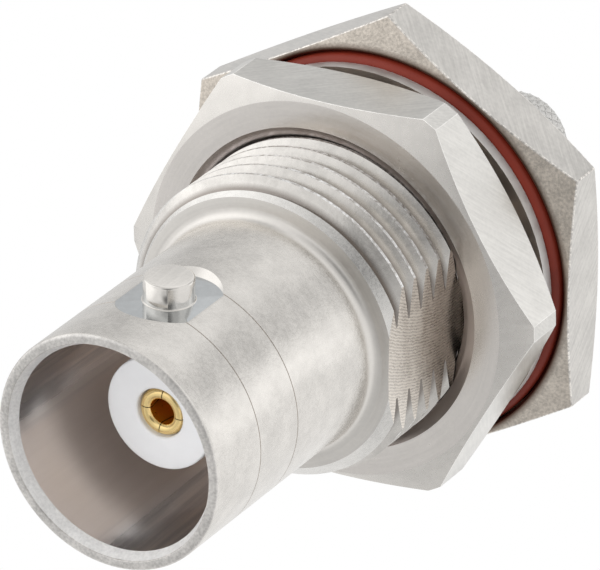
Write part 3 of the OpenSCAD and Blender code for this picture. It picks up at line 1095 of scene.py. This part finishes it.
def make_floor():
    """White sheet under the jack, for the camera alone: the tent in make_world stands in for its light."""
    z = (min(nut_low.z, body_low.z) - FLOOR_GAP) * MM
    bm = bmesh.new()
    bmesh.ops.create_grid(bm, x_segments=8, y_segments=8, size=FLOOR_HALF)
    mesh = bpy.data.meshes.new("floor")
    bm.to_mesh(mesh)
    bm.free()
    floor = bpy.data.objects.new("floor", mesh)
    bpy.context.scene.collection.objects.link(floor)
    floor.location = (0, 0, z)
    sh = Shader("pale_floor", 0.0, (0.80, 0.80, 0.80))
    sh.bsdf.inputs["Roughness"].default_value = 0.8
    glow = sh.put("ShaderNodeEmission")
    path = sh.put("ShaderNodeLightPath")
    mix = sh.put("ShaderNodeMixShader")
    sh.link(path.outputs["Is Camera Ray"], mix.inputs[0])
    sh.link(sh.bsdf.outputs[0], mix.inputs[1])
    sh.link(glow.outputs[0], mix.inputs[2])
    sh.link(mix.outputs[0], sh.tree.nodes["Material Output"].inputs["Surface"])
    mesh.materials.append(sh.material)
    floor.visible_diffuse = floor.visible_glossy = floor.visible_shadow = False


# Patches of the light tent: direction, angle inside which it holds fully, angle where it ends, factor on its
# level of 1, both angles in degrees
TENT = [
    ((0.42, -0.82, 0.38), 8, 26, 0.30),     # opening for the camera
    ((0.10, -0.80, -0.60), 20, 60, 0.65),   # front edge of the table
    ((0.46, 0.76, 0.46), 6, 22, 0.70),      # gap between the two rear walls
    ((0.66, 0.74, 0.10), 6, 20, 1.30),      # rear right wall
    ((-0.46, 0.76, 0.46), 10, 30, 0.80),    # seam of the ceiling
    ((-0.80, 0.58, 0.00), 20, 50, 0.80),    # rear left corner
    ((-0.46, 0.10, 0.88), 8, 28, 0.70),     # bare ceiling
    ((0.45, -0.60, 0.60), 20, 42, 0.70),    # boom over the camera
    ((0.10, -0.98, -0.15), 6, 26, 0.82),    # front of the room
    ((-0.85, -0.25, 0.45), 15, 42, 1.42),   # main lamp's diffuser
]

CAMERA_AIM = Vector((4.5956, -13.5252, 5.5767)) * MM
CAMERA_DISTANCE = 282.876 * MM
CAMERA_AZIMUTH = math.radians(31.1957)
CAMERA_ELEVATION = math.radians(27.4884)
CAMERA_ROLL = math.radians(0.2867)
CAMERA_LENS = 457.33


def make_camera():
    """A long lens that looks at the aim from the photograph's azimuth and elevation."""
    a, e = CAMERA_AZIMUTH, CAMERA_ELEVATION
    back = Vector((math.sin(a) * math.cos(e), -math.cos(a) * math.cos(e), math.sin(e)))
    right = Vector((math.cos(a), math.sin(a), 0))
    up = back.cross(right)
    c, s = math.cos(CAMERA_ROLL), math.sin(CAMERA_ROLL)
    right, up = right * c + up * s, up * c - right * s
    data = bpy.data.cameras.new("camera")
    data.lens = CAMERA_LENS
    data.sensor_width = 36
    data.clip_end = 10
    data.clip_start = 0.01
    camera = bpy.data.objects.new("camera", data)
    turn = Matrix((right, up, back)).transposed().to_4x4()
    camera.matrix_world = Matrix.Translation(CAMERA_AIM + back * CAMERA_DISTANCE) @ turn
    bpy.context.scene.collection.objects.link(camera)
    bpy.context.scene.camera = camera


def make_world():
    """White to the camera. To everything else a light tent: bright walls with softly darker openings."""
    world = bpy.data.worlds.new("studio")
    bpy.context.scene.world = world
    world.use_nodes = True
    tree = world.node_tree
    tree.nodes.clear()

    def put(kind, **values):
        node = tree.nodes.new(kind)
        for key, value in values.items():
            setattr(node, key, value)
        return node

    place = put("ShaderNodeTexCoord")
    level = None
    for direction, inner, outer, factor in TENT:
        aim = put("ShaderNodeVectorMath", operation="DOT_PRODUCT")
        aim.inputs[1].default_value = Vector(direction).normalized()
        tree.links.new(place.outputs["Generated"], aim.inputs[0])
        patch = put("ShaderNodeMapRange", interpolation_type="SMOOTHSTEP")
        patch.inputs["From Min"].default_value = math.cos(math.radians(outer))
        patch.inputs["From Max"].default_value = math.cos(math.radians(inner))
        patch.inputs["To Min"].default_value = 1
        patch.inputs["To Max"].default_value = factor
        tree.links.new(aim.outputs["Value"], patch.inputs["Value"])
        if level is None:
            level = patch.outputs["Result"]
            continue
        product = put("ShaderNodeMath", operation="MULTIPLY")
        tree.links.new(level, product.inputs[0])
        tree.links.new(patch.outputs["Result"], product.inputs[1])
        level = product.outputs[0]

    out = put("ShaderNodeOutputWorld")
    white = put("ShaderNodeBackground")
    tent = put("ShaderNodeBackground")
    for background in (white, tent):
        background.inputs["Color"].default_value = (1, 1, 1, 1)
    tree.links.new(level, tent.inputs["Strength"])
    mix = put("ShaderNodeMixShader")
    path = put("ShaderNodeLightPath")
    tree.links.new(path.outputs["Is Camera Ray"], mix.inputs[0])
    tree.links.new(tent.outputs[0], mix.inputs[1])
    tree.links.new(white.outputs[0], mix.inputs[2])
    tree.links.new(mix.outputs[0], out.inputs["Surface"])


def make_lamp(name, place, target, size, power):
    """A soft square lamp, in metres and watts. Metal shows the tent, so reflections leave the lamp out."""
    data = bpy.data.lights.new(name, "AREA")
    data.shape = "SQUARE"
    data.size = size
    data.energy = power
    lamp = bpy.data.objects.new(name, data)
    lamp.location = place
    lamp.rotation_euler = (Vector(target) - Vector(place)).to_track_quat("-Z", "Y").to_euler()
    lamp.visible_glossy = False
    bpy.context.scene.collection.objects.link(lamp)


make_floor()
make_camera()
make_world()
make_lamp("key", (-0.30, -0.25, 0.40), (0, 0, 0), 0.30, 1.0)
make_lamp("rear", (0.25, 0.45, 0.30), (0.15, 0.25, 0), 0.25, 1.0)
make_lamp("front", (0.10, -0.50, 0.20), (0, 0, 0), 0.20, 1.0)

bpy.context.scene.view_settings.view_transform = "Standard"
